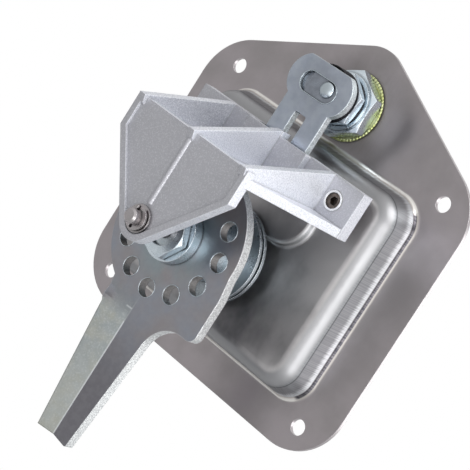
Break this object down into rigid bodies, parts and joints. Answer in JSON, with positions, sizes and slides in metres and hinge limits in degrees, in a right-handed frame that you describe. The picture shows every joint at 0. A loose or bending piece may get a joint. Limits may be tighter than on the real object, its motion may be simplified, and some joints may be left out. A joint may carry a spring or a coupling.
{
  "type": "tool box lock",
  "caption": "Folding T-handle paddle lock on a pan-shaped mounting plate, with a drilled lever plate, a ribbed cast bracket on a pull rod and a key lock whose slotted cam holds it.",
  "frame": {"origin": "centre of the four screw holes, on the plate's back face", "axes": "+Y out of the back of the plate towards the levers, +Z towards the key lock, X across the plate"},
  "size_m": [0.136, 0.0792, 0.1748],
  "materials": {
    "stainless_sheet": "satin",
    "zinc_plate": "bright zinc",
    "polished_steel": "bright",
    "handle_steel": "satin",
    "cast_aluminium": "as cast",
    "black_steel": "black oxide",
    "chrome_plate": "polished",
    "yellow_zinc": "yellow passivated zinc"
  },
  "bodies": {
    "plate": {"mounting_pan": "stainless_sheet", "shaft_bush": "zinc_plate", "bush_ring": "zinc_plate", "lower_disc": "zinc_plate", "lock_housing": "chrome_plate", "lock_washer": "yellow_zinc", "lock_nut": "zinc_plate", "lock_thin_nut": "zinc_plate", "lock_spacer": "black_steel"},
    "shaft": {"thrust_washer": "zinc_plate", "upper_disc": "zinc_plate", "hub_sleeve": "zinc_plate", "drive_shaft": "zinc_plate", "fold_pin": "polished_steel", "lever_plate": "zinc_plate", "shaft_collar": "zinc_plate", "shaft_nut": "zinc_plate"},
    "handle": {"t_handle": "handle_steel"},
    "rod": {"pull_rod": "polished_steel", "e_clip": "polished_steel"},
    "casting": {"bracket": "cast_aluminium", "rod_washer": "polished_steel", "thread_insert": "polished_steel", "set_screw": "black_steel"},
    "cam": {"lock_plug": "chrome_plate", "lock_cam": "zinc_plate", "lock_tail": "zinc_plate", "cam_rivet": "zinc_plate"}
  },
  "joints": [
    {"name": "shaft_turn", "type": "hinge", "parent": "plate", "child": "shaft", "pos_m": [0, 0, -0.0108], "axis": [0, -1, 0], "range_deg": [0, 90]},
    {"name": "handle_fold", "type": "hinge", "parent": "shaft", "child": "handle", "pos_m": [0, 0.004, -0.0108], "axis": [1, 0, 0], "range_deg": [0, 90]},
    {"name": "rod_slide", "type": "slide", "parent": "shaft", "child": "rod", "axis": [0, -1, 0], "range_m": [0, 0.0022]},
    {"name": "casting_slide", "type": "slide", "parent": "plate", "child": "casting", "axis": [0, -1, 0], "range_m": [0, 0.0022]},
    {"name": "cam_turn", "type": "hinge", "parent": "plate", "child": "cam", "pos_m": [0, 0, 0.0568], "axis": [0, 1, 0], "range_deg": [0, 90]}
  ],
  "couplings": [
    {"joint": "rod_slide", "follows": "handle_fold", "m_per_rad": 0.0014},
    {"joint": "casting_slide", "follows": "handle_fold", "m_per_rad": 0.0014}
  ]
}
